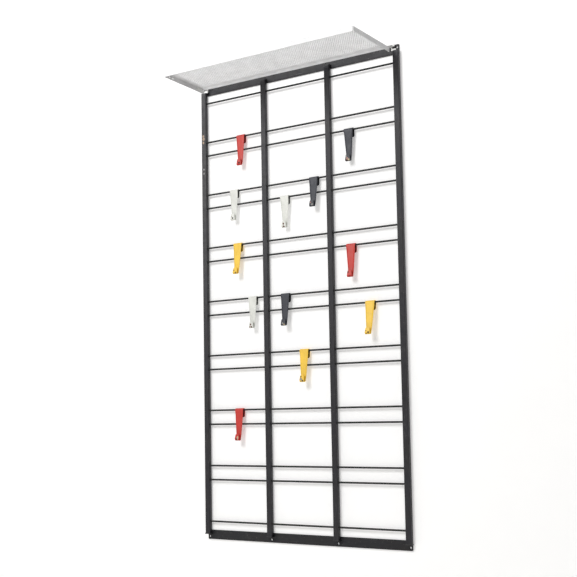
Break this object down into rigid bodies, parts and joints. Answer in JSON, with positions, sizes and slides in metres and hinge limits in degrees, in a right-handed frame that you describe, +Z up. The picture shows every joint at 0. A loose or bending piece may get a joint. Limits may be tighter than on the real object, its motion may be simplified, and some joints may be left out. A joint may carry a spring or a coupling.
{
  "type": "wall coat rack",
  "caption": "Wall-hung coat rack: steel frame of flat tubes and paired rods, sliding sheet hooks, lift-off perforated hat shelf.",
  "frame": {"origin": "centre of the four corner screw holes, on the wall face", "axes": "+X along the wall to the right seen from the room, -Y out of the wall into the room, +Z up"},
  "size_m": [0.6522, 0.1874, 1.2629],
  "materials": {
    "frame_black": "satin charcoal paint, lightly worn",
    "rod_black": "satin charcoal paint",
    "plug_black": "matt",
    "shelf_white": "satin warm white paint, perforated",
    "hook_red": "satin paint, chipped at the tip",
    "hook_yellow": "satin paint, chipped at the tip",
    "hook_white": "satin paint, chipped at the tip",
    "hook_grey": "satin paint, chipped at the tip"
  },
  "bodies": {
    "frame": {"bar_top": "frame_black", "bar_bottom": "frame_black", "upright_left": "frame_black", "upright_inner_left": "frame_black", "upright_inner_right": "frame_black", "upright_right": "frame_black", "rod_01": "rod_black", "rod_02": "rod_black", "rod_03": "rod_black", "rod_04": "rod_black", "rod_05": "rod_black", "rod_06": "rod_black", "rod_07": "rod_black", "rod_08": "rod_black", "rod_09": "rod_black", "rod_10": "rod_black", "rod_11": "rod_black", "rod_12": "rod_black", "rod_13": "rod_black", "rod_14": "rod_black", "rod_15": "rod_black", "rod_16": "rod_black", "end_plugs": "plug_black"},
    "shelf": {"shelf_tray": "shelf_white", "shelf_ear_left": "shelf_white", "shelf_ear_right": "shelf_white"},
    "hook_01": {"hook_01_red": "hook_red"},
    "hook_02": {"hook_02_grey": "hook_grey"},
    "hook_03": {"hook_03_white": "hook_white"},
    "hook_04": {"hook_04_white": "hook_white"},
    "hook_05": {"hook_05_grey": "hook_grey"},
    "hook_06": {"hook_06_yellow": "hook_yellow"},
    "hook_07": {"hook_07_red": "hook_red"},
    "hook_08": {"hook_08_white": "hook_white"},
    "hook_09": {"hook_09_grey": "hook_grey"},
    "hook_10": {"hook_10_yellow": "hook_yellow"},
    "hook_11": {"hook_11_yellow": "hook_yellow"},
    "hook_12": {"hook_12_red": "hook_red"}
  },
  "joints": [
    {"name": "shelf_lift", "type": "slide", "parent": "frame", "child": "shelf", "axis": [0, 0, 1], "range_m": [0, 0.03]},
    {"name": "hook_01_slide", "type": "slide", "parent": "frame", "child": "hook_01", "axis": [1, 0, 0], "range_m": [-0.1098, 0.0578]},
    {"name": "hook_02_slide", "type": "slide", "parent": "frame", "child": "hook_02", "axis": [1, 0, 0], "range_m": [-0.0423, 0.1253]},
    {"name": "hook_03_slide", "type": "slide", "parent": "frame", "child": "hook_03", "axis": [1, 0, 0], "range_m": [-0.0843, 0.0833]},
    {"name": "hook_04_slide", "type": "slide", "parent": "frame", "child": "hook_04", "axis": [1, 0, 0], "range_m": [-0.0453, 0.0333]},
    {"name": "hook_05_slide", "type": "slide", "parent": "frame", "child": "hook_05", "axis": [1, 0, 0], "range_m": [-0.0333, 0.0263]},
    {"name": "hook_06_slide", "type": "slide", "parent": "frame", "child": "hook_06", "axis": [1, 0, 0], "range_m": [-0.0948, 0.0728]},
    {"name": "hook_07_slide", "type": "slide", "parent": "frame", "child": "hook_07", "axis": [1, 0, 0], "range_m": [-0.0418, 0.1258]},
    {"name": "hook_08_slide", "type": "slide", "parent": "frame", "child": "hook_08", "axis": [1, 0, 0], "range_m": [-0.1443, 0.0233]},
    {"name": "hook_09_slide", "type": "slide", "parent": "frame", "child": "hook_09", "axis": [1, 0, 0], "range_m": [-0.0423, 0.1253]},
    {"name": "hook_10_slide", "type": "slide", "parent": "frame", "child": "hook_10", "axis": [1, 0, 0], "range_m": [-0.0958, 0.0718]},
    {"name": "hook_11_slide", "type": "slide", "parent": "frame", "child": "hook_11", "axis": [1, 0, 0], "range_m": [-0.1008, 0.0668]},
    {"name": "hook_12_slide", "type": "slide", "parent": "frame", "child": "hook_12", "axis": [1, 0, 0], "range_m": [-0.0933, 0.0743]}
  ]
}
